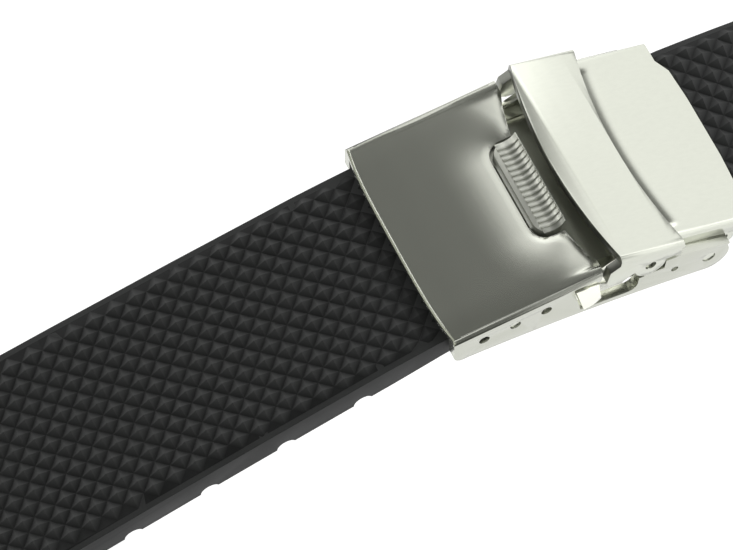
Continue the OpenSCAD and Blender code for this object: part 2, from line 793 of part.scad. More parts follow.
module long_lug_sleeve() {
    color(DARK_STEEL) placed()
        tube(long_lug, sleeve_r, sleeve_r - sleeve_t, -lug_bar_half, lug_bar_half);
}

module long_lug_tube() {
    bar_tube(long_lug, lug_bar_r, lug_stem_r, lug_bar_half);
}

module long_lug_spring() {
    bar_spring(long_lug, lug_stem_r, lug_bar_half);
}

module long_lug_tip_front() {
    bar_tip(long_lug, -1, lug_stem_r, lug_bar_half, lug_shoulder, lug_tip_end);
}

module long_lug_tip_rear() {
    bar_tip(long_lug, 1, lug_stem_r, lug_bar_half, lug_shoulder, lug_tip_end);
}

module short_lug_sleeve() {
    color(DARK_STEEL) placed()
        tube(short_lug, sleeve_r, sleeve_r - sleeve_t, -lug_bar_half, lug_bar_half);
}

module short_lug_tube() {
    bar_tube(short_lug, lug_bar_r, lug_stem_r, lug_bar_half);
}

module short_lug_spring() {
    bar_spring(short_lug, lug_stem_r, lug_bar_half);
}

module short_lug_tip_front() {
    bar_tip(short_lug, -1, lug_stem_r, lug_bar_half, lug_shoulder, lug_tip_end);
}

module short_lug_tip_rear() {
    bar_tip(short_lug, 1, lug_stem_r, lug_bar_half, lug_shoulder, lug_tip_end);
}

strap_long();
strap_short();
cover();
thumb_pad();
safety_flap();
flap_pin();
button_front();
button_rear();
button_spring_front();
button_spring_rear();
middle_blade();
lower_blade();
catch_post();
cover_hinge_pin();
blade_hinge_pin();
long_bar_tube();
long_bar_spring();
long_bar_tip_front();
long_bar_tip_rear();
short_bar_tube();
short_bar_spring();
short_bar_tip_front();
short_bar_tip_rear();
long_lug_sleeve();
long_lug_tube();
long_lug_spring();
long_lug_tip_front();
long_lug_tip_rear();
short_lug_sleeve();
short_lug_tube();
short_lug_spring();
short_lug_tip_front();
short_lug_tip_rear();
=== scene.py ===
"""Dresses the watch strap for its portrait: patterned rubber, satin steel clasp, pale studio."""

import json
import logging
import math
from dataclasses import dataclass, field
from enum import Enum

import bmesh
import bpy
from mathutils import Matrix, Vector

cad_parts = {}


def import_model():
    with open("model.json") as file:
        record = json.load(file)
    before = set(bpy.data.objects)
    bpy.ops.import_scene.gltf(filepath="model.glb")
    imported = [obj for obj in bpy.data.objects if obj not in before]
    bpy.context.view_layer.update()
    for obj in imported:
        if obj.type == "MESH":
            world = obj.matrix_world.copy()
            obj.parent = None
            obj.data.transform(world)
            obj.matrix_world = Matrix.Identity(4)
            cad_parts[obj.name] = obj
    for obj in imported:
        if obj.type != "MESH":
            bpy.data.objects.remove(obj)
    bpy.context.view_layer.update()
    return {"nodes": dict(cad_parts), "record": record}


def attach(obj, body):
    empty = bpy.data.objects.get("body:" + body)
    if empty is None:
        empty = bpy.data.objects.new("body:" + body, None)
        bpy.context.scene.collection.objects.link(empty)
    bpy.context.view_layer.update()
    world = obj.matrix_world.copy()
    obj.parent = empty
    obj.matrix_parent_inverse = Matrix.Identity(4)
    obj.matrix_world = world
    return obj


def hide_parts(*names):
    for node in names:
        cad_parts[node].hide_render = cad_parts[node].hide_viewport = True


log = logging.getLogger("strap")

Point = tuple[float, float]
Triple = tuple[float, float, float]
Stops = list[tuple[float, Triple]]

MM = 0.001
MERGE_WITHIN = 0.000002
SHARP_FROM = 38.0
NOISE_LOW = 0.3
NOISE_HIGH = 0.7


class Slot(Enum):
    """Material slots of the record."""

    RUBBER = "strap_rubber"
    SATIN = "satin_steel"
    BLADE = "blade_steel"
    PAD = "pad_steel"
    SPRING = "spring_steel"
    BAR = "bar_steel"


# Shader maths


@dataclass
class Sock:
    """A shader value that takes part in Python expressions."""

    tree: "Recipe"
    link: object

    def _op(self, kind: str, a: object, b: object) -> "Sock":
        """Adds one Math node for two values."""
        return self.tree.node("ShaderNodeMath", {"operation": kind}, {0: a, 1: b})

    def __add__(self, other: object) -> "Sock":
        """Sum."""
        return self._op("ADD", self, other)

    def __sub__(self, other: object) -> "Sock":
        """Difference."""
        return self._op("SUBTRACT", self, other)

    def __mul__(self, other: object) -> "Sock":
        """Product."""
        return self._op("MULTIPLY", self, other)

    def __radd__(self, other: object) -> "Sock":
        """Sum with a number first."""
        return self._op("ADD", other, self)

    def __rsub__(self, other: object) -> "Sock":
        """Difference with a number first."""
        return self._op("SUBTRACT", other, self)

    def __rmul__(self, other: object) -> "Sock":
        """Product with a number first."""
        return self._op("MULTIPLY", other, self)


class Recipe:
    """A material that is written as expressions."""

    def __init__(self, name: str) -> None:
        """Starts an empty material with a Principled shader.

        Args:
            name: The material's name.
        """
        self.material = bpy.data.materials.new(name)
        self.material.use_nodes = True
        self.nodes = self.material.node_tree.nodes
        self.links = self.material.node_tree.links
        self.shader = next(n for n in self.nodes if n.type == "BSDF_PRINCIPLED")

    def node(
        self, kind: str, settings: dict[str, object], inputs: dict[object, object], out: object = 0
    ) -> Sock:
        """Adds a node.

        Args:
            kind: The node's type name.
            settings: Its properties, set first.
            inputs: Values or links for its sockets, by name or number.
            out: The output that is used.

        Returns:
            The wrapped output.
        """
        made = self.nodes.new(kind)
        for key, value in settings.items():
            if key == "stops":
                self._ramp(made, value)
            else:
                setattr(made, key, value)
        for key, value in inputs.items():
            self.feed(made.inputs[key], value)
        return Sock(self, made.outputs[out])

    def _ramp(self, made: object, stops: Stops) -> None:
        """Sets the stops of a colour ramp.

        Args:
            made: The ramp's node.
            stops: Place and colour of each stop.
        """
        band = made.color_ramp.elements
        while len(band) < len(stops):
            band.new(0.5)
        for element, (place, colour) in zip(band, stops):
            element.position = place
            element.color = (*colour, 1.0)

    def feed(self, socket: object, value: object) -> None:
        """Links or sets a socket.

        Args:
            socket: The input socket.
            value: A wrapped output, or a number or colour.
        """
        if isinstance(value, Sock):
            self.links.new(value.link, socket)
        else:
            socket.default_value = value

    def place(self, scale: Triple = (1.0, 1.0, 1.0)) -> Sock:
        """Object coordinates in metres times a scale per axis."""
        where = self.node("ShaderNodeTexCoord", {}, {}, "Object")
        return self.node("ShaderNodeMapping", {}, {"Vector": where, "Scale": scale})

    def noise(self, where: Sock, scale: float, detail: float) -> Sock:
        """A noise value at a place."""
        return self.node("ShaderNodeTexNoise", {}, {"Vector": where, "Scale": scale, "Detail": detail})

    def attribute(self, name: str) -> Sock:
        """The value of a piece's own attribute, 0 where it has none."""
        return self.node("ShaderNodeAttribute", {"attribute_name": name}, {}, "Fac")

    def ramp(self, value: Sock, stops: Stops) -> Sock:
        """A colour ramp over a value."""
        return self.node("ShaderNodeValToRGB", {"stops": stops}, {"Fac": value})

    def span(self, value: Sock, to_low: float, to_high: float) -> Sock:
        """Maps the common range of a noise to another range and holds it there."""
        inputs = {0: value, 1: NOISE_LOW, 2: NOISE_HIGH, 3: to_low, 4: to_high}
        return self.node("ShaderNodeMapRange", {"clamp": True}, inputs)

    def bump(self, height: Sock, distance: float, strength: float) -> None:
        """Feeds a bump to the shader's normal."""
        inputs = {"Height": height, "Distance": distance, "Strength": strength}
        self.set(Normal=self.node("ShaderNodeBump", {}, inputs, "Normal"))

    def set(self, **values: object) -> None:
        """Sets the shader's sockets, with underscores for spaces."""
        for key, value in values.items():
            self.feed(self.shader.inputs[key.replace("_", " ")], value)


# Finishes


@dataclass(frozen=True)
class Rubber:
    """Matt moulded black rubber with painted shade: lighter where its crown attribute is high, darker in the
    pyramids' valleys and on the strap's sides.
    """

    name: str = "moulded_rubber"
    # Painted shade and light: dark is the colour of the shaded valleys and sides, light that of the lit
    # crowns.
    dark: Triple = (0.0055, 0.006, 0.006)
    light: Triple = (0.04, 0.0415, 0.041)
    light_from: float = 0.75
    roughness: float = 0.58
    smoother: float = 0.05
    rougher: float = 0.08
    specular: float = 0.35
    crown: str = "crown"
    crown_share: float = 0.9
    cloud_share: float = 0.3
    cloud_shift: float = 0.1
    cloud_scale: float = 260.0
    grain_scale: float = 9000.0
    grain_depth: float = 0.00001
    grain_strength: float = 0.5

    def build(self) -> bpy.types.Material:
        """Makes the material.

        Returns:
            The material.
        """
        r = Recipe(self.name)
        where = r.place()
        cloud = r.noise(where, self.cloud_scale, 3.0)
        grain = r.noise(where, self.grain_scale, 2.0)
        # Painted shade from the crown attribute, plus clouds of tone that varies at random.
        crown_shade_and_tone = r.attribute(self.crown) * self.crown_share + cloud * self.cloud_share - self.cloud_shift
        r.set(Base_Color=r.ramp(crown_shade_and_tone, [(0.0, self.dark), (self.light_from, self.light)]))
        r.set(Specular_IOR_Level=self.specular)
        r.set(Roughness=r.span(cloud, self.roughness - self.smoother, self.roughness + self.rougher))
        r.bump(grain, self.grain_depth, self.grain_strength)
        return r.material


@dataclass(frozen=True)
class Steel:
    """Stainless steel with a directional brushing.

    The brushing runs along the axis whose scale is smallest. A mix gives the shares of the brushed lines
    and of the clouds. Where the cut attribute is 1, the steel takes painted shade: the darker tone of a face
    in shadow.
    """

    name: str
    tone: Triple = (0.63, 0.645, 0.572)
    roughness: float = 0.29
    spread: float = 0.04
    scale: Triple = (90.0, 4200.0, 4200.0)
    streak: float = 0.025
    tone_mix: Point = (0.7, 0.3)
    polish_mix: Point = (0.6, 0.4)
    cloud_scale: float = 140.0
    # Painted shade: the attribute named here marks faces in shadow, and the tone below scales their colour
    # down.
    cut: str = "cut_edge"
    front_shade_tone: float = 0.35

    def build(self) -> bpy.types.Material:
        """Makes the material.

        Returns:
            The material.
        """
        r = Recipe(self.name)
        lines = r.noise(r.place(self.scale), 1.0, 3.0)
        cloud = r.noise(r.place(), self.cloud_scale, 2.0)
        # Painted shade: faces marked by the cut attribute take this dark tone.
        dark = tuple(c * self.front_shade_tone for c in self.tone)
        low = tuple(c * (1 - self.streak) for c in self.tone)
        high = tuple(min(1.0, c * (1 + self.streak)) for c in self.tone)
        shade = lines * self.tone_mix[0] + cloud * self.tone_mix[1] - r.attribute(self.cut)
        r.set(Base_Color=r.ramp(shade, [(0.0, dark), (NOISE_LOW, low), (NOISE_HIGH, high)]))
        r.set(Metallic=1.0)
        polish = lines * self.polish_mix[0] + cloud * self.polish_mix[1]
        r.set(Roughness=r.span(polish, self.roughness - self.spread, self.roughness + self.spread))
        return r.material


@dataclass(frozen=True)
class Paper:
    """The pale floor."""

    name: str = "pale_floor"
    tone: float = 0.4
    roughness: float = 0.9
    glow: float = 0.87

    def build(self) -> bpy.types.Material:
        """Makes the material.

        Returns:
            The material.
        """
        r = Recipe(self.name)
        r.set(Base_Color=(self.tone, self.tone, self.tone, 1.0), Roughness=self.roughness)
        r.set(Emission_Color=(1.0, 1.0, 1.0, 1.0), Emission_Strength=self.glow)
        return r.material


# The strap's middle line and its lay


@dataclass(frozen=True)
class Lay:
    """The side frame of the clasp and its place in the row frame, in millimetres and radians."""

    level: float
    mid_x: float
    foot_z: float

    @classmethod
    def over(cls, long_run: "Run", short_run: "Run", lug_t: float) -> "Lay":
        """Levels the arch on its two lug ends.

        Args:
            long_run: Middle line of the long strap.
            short_run: Middle line of the short strap.
            lug_t: Thickness at the lugs.

        Returns:
            The lay that puts both lug ends on the ground.
        """
        a, b = long_run.point(long_run.length), short_run.point(short_run.length)
        level = math.atan2(b[1] - a[1], b[0] - a[0])
        c, s = math.cos(level), math.sin(level)
        mid_x = ((a[0] + b[0]) * c + (a[1] + b[1]) * s) / 2
        return cls(level, mid_x, a[1] * c - a[0] * s - lug_t / 2)

    def world(self, x: float, y: float, z: float) -> Vector:
        """A point of the side frame in the row frame, in metres."""
        c, s = math.cos(self.level), math.sin(self.level)
        return Vector((x * c + z * s - self.mid_x, y, z * c - x * s - self.foot_z)) * MM

    def way(self, x: float, y: float, z: float) -> Vector:
        """A direction of the side frame in the row frame, of length 1."""
        return (self.world(x, y, z) - self.world(0, 0, 0)).normalized()

    def local(self, place: Vector) -> Triple:
        """Finds a point in the side frame.

        Args:
            place: The point in the row frame, in metres.

        Returns:
            Its side frame coordinates in millimetres.
        """
        c, s = math.cos(self.level), math.sin(self.level)
        x, y, z = place / MM
        x, z = x + self.mid_x, z + self.foot_z
        return x * c - z * s, y, x * s + z * c


@dataclass
class Run:
    """A strap's middle line, which turns steadily from slope to slope.

    Each leg is its length, first slope and last slope, and each mark is a length and the thickness there.
    Slopes are in degrees below the way it runs, and lengths in millimetres.
    """

    start: Point
    way: int
    legs: list[Triple]
    marks: list[Point]

    @property
    def length(self) -> float:
        """Whole length."""
        return sum(leg[0] for leg in self.legs)

    def slope(self, s: float) -> float:
        """Finds the slope, which outside the legs stays as at the end.

        Args:
            s: Length along the line.

        Returns:
            The slope in degrees.
        """
        for size, a, b in self.legs:
            if s <= size:
                return a + (b - a) * max(s, 0.0) / size
            s -= size
        return self.legs[-1][2]

    def point(self, s: float) -> Point:
        """Finds a place on the line, which past its last leg runs on straight.

        Args:
            s: Length along the line.

        Returns:
            The place in the side frame.
        """
        x, z = self.start
        left = s
        for index, (size, a, b) in enumerate(self.legs):
            last = index == len(self.legs) - 1
            step = left if last else min(left, size)
            inner = min(step, size)
            c = a + (b - a) * inner / size
            radius = size / math.radians(b - a)
            ra, rc = math.radians(a), math.radians(c)
            x += self.way * radius * (math.sin(rc) - math.sin(ra))
            z -= radius * (math.cos(ra) - math.cos(rc))
            if step > inner:
                x += self.way * (step - inner) * math.cos(rc)
                z -= (step - inner) * math.sin(rc)
            left -= step
            if left <= 0 and not last:
                break
        return x, z

    def frame(self, s: float) -> tuple[Point, Point]:
        """Place and upward normal at length s."""
        a = math.radians(self.slope(s))
        return self.point(s), (self.way * math.sin(a), math.cos(a))

    def thick(self, s: float) -> float:
        """Finds the thickness.

        Args:
            s: Length along the line.

        Returns:
            The thickness there.
        """
        marks = self.marks
        if s <= marks[0][0]:
            return marks[0][1]
        for (s0, t0), (s1, t1) in zip(marks, marks[1:]):
            if s <= s1:
                return t0 + (t1 - t0) * (s - s0) / (s1 - s0)
        return marks[-1][1]


LUG_T = 4.4
LONG_RUN = Run((6.16, -0.14), -1, [(42.0, 18.9, 22.1), (42.0, 22.1, 27.5)],
               [(4.0, 2.3), (11.0, 3.0), (68.0, 3.3), (84.0, LUG_T)])
SHORT_RUN = Run((28.0, -1.35), 1, [(70.0, -5.2, 22.5)],
                [(0.91, 2.3), (2.6, 3.0), (54.0, 3.3), (70.0, LUG_T)])
LAY = Lay.over(LONG_RUN, SHORT_RUN, LUG_T)


# Mesh tools


def new_object(name: str, mesh: bpy.types.Mesh) -> bpy.types.Object:
    """Links a new object.

    Args:
        name: The object's name.
        mesh: Its mesh.

    Returns:
        The object.
    """
    made = bpy.data.objects.new(name, mesh)
    bpy.context.scene.collection.objects.link(made)
    return made


def smooth(mesh: bpy.types.Mesh, angle: float) -> None:
    """Shades a mesh smooth, apart from edges sharper than angle in degrees."""
    mesh.shade_smooth()
    mesh.set_sharp_from_angle(angle=math.radians(angle))


def apply_modifiers(obj: bpy.types.Object) -> None:
    """Turns an object's evaluated result into its plain mesh.

    Args:
        obj: The object, which loses its modifiers.
    """
    graph = bpy.context.evaluated_depsgraph_get()
    graph.update()
    mesh = bpy.data.meshes.new_from_object(obj.evaluated_get(graph))
    obj.modifiers.clear()
    obj.data = mesh


def clean_copy(name: str, node: str, flat: float) -> bpy.types.Object:
    """A merged copy of a CAD node with its flat faces in one piece each.

    Args:
        name: The new piece's name.
        node: The CAD node.
        flat: Faces that meet at less than this angle, in degrees, become one.

    Returns:
        The new object, in place.
    """
    mesh = bpy.data.objects[node].data.copy()
    mesh.materials.clear()
    bm = bmesh.new()
    bm.from_mesh(mesh)
    bmesh.ops.remove_doubles(bm, verts=bm.verts, dist=MERGE_WITHIN)
    bmesh.ops.dissolve_limit(bm, angle_limit=math.radians(flat), verts=bm.verts, edges=bm.edges)
    bmesh.ops.recalc_face_normals(bm, faces=bm.faces)
    bm.to_mesh(mesh)
    bm.free()
    mesh.name = name
    return new_object(name, mesh)


def soften(made: bpy.types.Object, width: float, angle: float = 32.0, segments: int = 2) -> None:
    """Rounds a piece's sharp edges and shades it smooth.

    Args:
        made: The piece.
        width: Width of the rounding in millimetres.
        angle: Edges sharper than this are rounded, in degrees.
        segments: Steps in each rounding.
    """
    bevel = made.modifiers.new("soft_edges", "BEVEL")
    bevel.width = width * MM
    bevel.segments = segments
    bevel.limit_method = "ANGLE"
    bevel.angle_limit = math.radians(angle)
    bevel.use_clamp_overlap = True
    bevel.harden_normals = False
    bevel.miter_outer = "MITER_ARC"
    apply_modifiers(made)
    smooth(made.data, SHARP_FROM)


def with_parts(faces: list[bmesh.types.BMFace]) -> list[object]:
    """Faces together with their edges and vertices."""
    return list({*faces, *(e for f in faces for e in f.edges), *(v for f in faces for v in f.verts)})


def split(bm: bmesh.types.BMesh, geom: list[object], place: Vector, out: Vector) -> list[object]:
    """Cuts elements at a plane and returns them with the new ones."""
    return bmesh.ops.bisect_plane(bm, geom=geom, plane_co=place, plane_no=out.normalized())["geom"]


def shade_exactly(mesh: bpy.types.Mesh, normals: dict[int, Vector], within: float = 0.8) -> None:
    """Shades the corners of a mesh by exact normals.

    Args:
        mesh: The mesh, already shaded smooth.
        normals: The exact normal of each vertex that has one, by its index.
        within: Least cosine between a face and the normal that its corner takes.
    """
    shading = [Vector(c.vector) for c in mesh.corner_normals]
    for face in mesh.polygons:
        for corner in face.loop_indices:
            exact = normals.get(mesh.loops[corner].vertex_index)
            if exact is not None and face.normal.dot(exact) > within:
                shading[corner] = exact
    mesh.normals_split_custom_set(shading)


# Pressed sheet


def ease(d: float, width: float) -> float:
    """Falls from 1 at d = 0 to 0 at d = width, ever more gently."""
    return max(0.0, 1.0 - max(d, 0.0) / width) ** 2


def level_ends(f: float) -> float:
    """Goes from 0 to 1 as f does, with a level start and end."""
    return f * f * (3 - 2 * f)


@dataclass(frozen=True)
class Fillet:
    """The quarter round along a plate's long edges, in millimetres."""

    half: float
    radius: float

    def out(self, y: float) -> float:
        """Distance that a place across lies past the flat of the plate."""
        return abs(y) - self.half + self.radius

    def depth(self, y: float) -> float:
        """Depth of the round under the plate's face at a place across."""
        out = min(max(self.out(y), 0.0), self.radius)
        return self.radius - math.sqrt(self.radius ** 2 - out ** 2)


class Pressed:
    """An upper face with a rule for how far it is pressed down, in the side frame and millimetres.

    A place is on the flat where the long rounds are under flat_depth deep. A point belongs to the face
    down to the rim under it, and up to over above it. The flat is cut into square cells, and the lip
    into strips at every few of its cuts. The face ends short of the plate's side by the edge gap.
    """

    fillet: Fillet
    slope: float = 0.0
    cell: float = 0.3
    lip_every: int = 3
    flat_depth: float = 0.006
    flat_slack: float = 0.05
    rim: float = 0.3
    round_rim: float = 0.12
    over: float = 0.06
    edge_gap: float = 0.02
    level_from: float = 0.93
    upward_from: float = 0.15
    probe: float = 0.03

    @property
    def creases(self) -> tuple[float, ...]:
        """Places along x where the rule turns sharply."""
        return ()

    def height(self, x: float) -> float:
        """Height of the face before it is pressed."""
        raise NotImplementedError

    def covers(self, x: float, y: float) -> bool:
        """Whether a place in plan belongs to the face, its long fillets too."""
        raise NotImplementedError

    def drop(self, x: float, y: float) -> float:
        """Depth of the pressing."""
        raise NotImplementedError

    def pull(self, x: float, y: float, z: float) -> float:
        """How far a point is pulled forward, against x."""
        return 0.0

    def sag(self, x: float) -> float:
        """How far the bowed face lies under the straight top of its long rounds."""
        return 0.0

    def inside_edges(self, y: float) -> bool:
        """Whether a place across lies between the plate's sides."""
        return self.fillet.out(y) < self.fillet.radius - self.edge_gap

    def round_depth(self, x: float, y: float) -> float:
        """Depth of the long edge's round under the face."""
        return max(0.0, self.fillet.depth(y) - self.sag(x))

    def shape(self, x: float, y: float) -> float:
        """Height of the pressed face."""
        return self.height(x) - self.round_depth(x, y) - self.drop(x, y)

    def on_top(self, x: float, y: float, z: float) -> bool:
        """Whether a point lies on the flat of the face."""
        flat = self.covers(x, y) and self.round_depth(x, y) < self.flat_depth
        return flat and abs(z - self.height(x)) < self.flat_slack

    def near_top(self, x: float, y: float, z: float) -> bool:
        """Whether a point lies on the face, its rounded rim or its long fillets."""
        rim = self.round_rim if self.round_depth(x, y) > self.flat_depth else self.rim
        return self.covers(x, y) and -rim < z - self.height(x) + self.round_depth(x, y) < self.over

    def normal(self, x: float, y: float) -> Vector:
        """Finds the outward normal of the pressed face.

        Args:
            x: Place along the plate.
            y: Place across it.

        Returns:
            The normal in the row frame.
        """
        e = self.probe
        along = LAY.world(x + e, y, self.shape(x + e, y)) - LAY.world(x - e, y, self.shape(x - e, y))
        across = LAY.world(x, y + e, self.shape(x, y + e)) - LAY.world(x, y - e, self.shape(x, y - e))
        return along.cross(across).normalized()

    def refine(self, bm: bmesh.types.BMesh) -> None:
        """Cuts the flat of the face into cells, and the lip that is pulled into strips.

        Args:
            bm: The plate, with its edges already rounded.
        """
        origin, up = LAY.world(0, 0, 0), LAY.way(0, 0, 1)
        level = [f for f in bm.faces if f.normal.dot(up) > self.level_from]
        top = [f for f in level if all(self.on_top(*LAY.local(v.co)) for v in f.verts)]
        places = [LAY.local(v.co) for f in top for v in f.verts]
        geom = with_parts(top)
        for axis, out in ((0, LAY.world(1, 0, 0) - origin), (1, Vector((0, MM, 0)))):
            low, high = min(q[axis] for q in places), max(q[axis] for q in places)
            count = round((high - low) / self.cell)
            cuts = [low + k * (high - low) / count for k in range(1, count)]
            for cut in cuts + list(self.creases if axis == 0 else ()):
                geom = split(bm, geom, origin + out * cut, out)
        geom = with_parts([f for f in bm.faces if any(self.pull(*LAY.local(v.co)) for v in f.verts)])
        for cut in cuts[self.lip_every - 1::self.lip_every]:
            geom = split(bm, geom, origin + out * cut, out)

    def sink(self, bm: bmesh.types.BMesh) -> dict[int, Vector]:
        """Moves the vertices of the face down and those of the lip forward.

        Args:
            bm: The refined plate.

        Returns:
            The exact normal of each vertex of the face, by its index.
        """
        up = LAY.way(0, 0, 1)
        bm.verts.index_update()
        normals: dict[int, Vector] = {}
        for v in bm.verts:
            x, y, z = LAY.local(v.co)
            pull = self.pull(x, y, z)
            if pull:
                v.co = LAY.world(x - pull, y, z - pull * self.slope)
            if v.normal.dot(up) >= self.upward_from and self.near_top(x, y, z):
                normals[v.index] = self.normal(x, y)
                v.co = LAY.world(x - pull, y, z - self.drop(x, y) - pull * self.slope)
        return normals

    def press(self, made: bpy.types.Object) -> None:
        """Presses a plate by the rule and shades it exactly.

        Args:
            made: The piece, with its edges already rounded.
        """
        bm = bmesh.new()
        bm.from_mesh(made.data)
        self.refine(bm)
        normals = self.sink(bm)
        bm.normal_update()
        bm.to_mesh(made.data)
        bm.free()
        smooth(made.data, SHARP_FROM)
        shade_exactly(made.data, normals)


@dataclass(frozen=True)
class CoverPlate(Pressed):
    """The cover's plate: dished towards its slot and its long edges, with a rolled rim, in millimetres.

    Its mouth is bowed forward and chamfered. The lowered edge runs on into the long round, steeper on
    the near side than on the far side.
    """

    length: float = 14.7
    mouth_z: float = 0.6
    crest_z: float = 3.4
    bow: float = 0.15
    fillet: Fillet = Fillet(11.0, 0.8)
    arc_r: float = 32.0
    edge_x: float = 13.1
    notch_half: float = 5.3
    notch_depth: float = 2.3
    notch_reach: float = 4.0
    corner: float = 1.6
    blend: float = 1.4
    dish_width: float = 4.8
    dish_depth: float = 0.44
    dish_fade: float = 0.8
    rim_width: float = 0.8
    rim_depth: float = 0.06
    edge_width: float = 2.2
    edge_depth: float = 0.12
    far_depth: float = 0.03
    chamfer: float = 0.26
    slope: float = 0.23
    mouth_bow: float = 0.5
    mouth_half: float = 10.5
    mouth_reach: float = 3.0
    mouth_steep: float = 1.1
    lip_middle: float = 0.5
    lip_half: float = 0.9
    past_mouth: float = 0.2
    past_crest: float = 0.3
    crease_before: float = 0.02
    crease_after: float = 0.04

    def pull(self, x: float, y: float, z: float) -> float:
        """Finds the mouth's forward bow, which fades out over the plate.

        Args:
            x: Place along the plate.
            y: Place across it.
            z: Height.

        Returns:
            How far the point is pulled forward.
        """
        off_lip = abs(z - self.height(x) + self.lip_middle) > self.lip_half
        if abs(y) >= self.mouth_half or x >= self.mouth_reach or off_lip:
            return 0.0
        fade = min(1.0, self.mouth_steep * (1 - x / self.mouth_reach))
        return self.mouth_bow * (1 - (abs(y) / self.mouth_half) ** 4) * level_ends(fade)

    def height(self, x: float) -> float:
        """Height of the plate's upper face."""
        f = x / self.length
        return self.mouth_z + f * (self.crest_z - self.mouth_z) + self.bow * (1 - (2 * f - 1) ** 2)

    @property
    def creases(self) -> tuple[float, ...]:
        """Both sides of the chamfer's inner edge."""
        return self.chamfer - self.crease_before, self.chamfer + self.crease_after

    def sag(self, x: float) -> float:
        """How far the bowed face lies under the straight top of its long rounds."""
        f = min(max(x / self.length, 0.0), 1.0)
        return self.bow * (2 * f - 1) ** 2

    def off_slot(self, x: float, y: float) -> float:
        """Finds the distance from the slot's arc and its notch, blended where they meet.

        Args:
            x: Place along the plate.
            y: Place across it.

        Returns:
            The distance, below 0 inside.
        """
        arc = math.hypot(x - self.edge_x - self.arc_r, y) - self.arc_r
        middle = self.edge_x - self.notch_depth + self.notch_reach
        qx = abs(x - middle) - self.notch_reach + self.corner
        qy = abs(y) - self.notch_half + self.corner
        box = math.hypot(max(qx, 0.0), max(qy, 0.0)) + min(max(qx, qy), 0.0) - self.corner
        mix = max(self.blend - abs(arc - box), 0.0) / self.blend
        return min(arc, box) - mix * mix * self.blend / 4

    def covers(self, x: float, y: float) -> bool:
        """Whether a place in plan belongs to the plate."""
        return -self.past_mouth < x < self.length + self.past_crest and self.inside_edges(y)

    def lowered(self, y: float) -> float:
        """Finds how far the long edges are lowered.

        Args:
            y: Place across the plate, below 0 on the near side.

        Returns:
            The depth, which keeps the slope of the flat's edge as it meets the round.
        """
        inside = -self.fillet.out(y)
        depth = self.edge_depth if y < 0 else self.far_depth
        if inside >= 0:
            return depth * ease(inside, self.edge_width)
        start = 2 * depth / self.edge_width
        run_on = start * min(-inside, self.fillet.radius)
        full = depth + start * self.fillet.radius
        return depth + run_on - full * self.fillet.depth(y) / self.fillet.radius

    def drop(self, x: float, y: float) -> float:
        """Finds the depth of the dish, the rolled rim, the lowered long edges and the chamfer together.

        Args:
            x: Place along the plate.
            y: Place across it.

        Returns:
            The depth.
        """
        d = self.off_slot(x, y)
        fade = min(1.0, max(-self.fillet.out(y), 0.0) / self.dish_fade)
        dish = self.dish_depth * ease(d, self.dish_width) + self.rim_depth * ease(d, self.rim_width)
        return dish * level_ends(fade) + self.lowered(y) + max(0.0, self.chamfer - x)


@dataclass(frozen=True)
class FlapPlate(Pressed):
    """The flap's long plate, which ramps down to the raised band in front of it, in millimetres."""

    front: float = 16.0
    end: float = 29.5
    front_z: float = 5.05
    end_z: float = 2.35
    bow: float = 0.1
    step: float = 0.25
    fillet: Fillet = Fillet(10.1, 0.8)
    groove_x: float = 21.07
    groove_r: float = 42.0
    ramp_width: float = 1.5
    ramp_depth: float = 0.4
    ramp_fade: float = 0.9
    before_groove: float = 0.1

    def sag(self, x: float) -> float:
        """How far the bowed face lies under the straight top of its long rounds."""
        f = min(max((x - self.front) / (self.end - self.front), 0.0), 1.0)
        return self.bow * (2 * f - 1) ** 2

    def height(self, x: float) -> float:
        """Height of the long plate's upper face."""
        f = (x - self.front) / (self.end - self.front)
        return self.front_z + f * (self.end_z - self.front_z) + self.bow * (1 - (2 * f - 1) ** 2) - self.step

    def past_groove(self, x: float, y: float) -> float:
        """Distance past the band's edge."""
        return self.groove_r - math.hypot(x - self.groove_x - self.groove_r, y)

    def covers(self, x: float, y: float) -> bool:
        """Whether a place in plan belongs to the long plate."""
        return self.past_groove(x, y) > -self.before_groove and self.inside_edges(y)

    def drop(self, x: float, y: float) -> float:
        """Depth of the ramp."""
        fade = min(1.0, max(-self.fillet.out(y), 0.0) / self.ramp_fade)
        return self.ramp_depth * ease(self.past_groove(x, y), self.ramp_width) * level_ends(fade)


# The lattice of pyramids


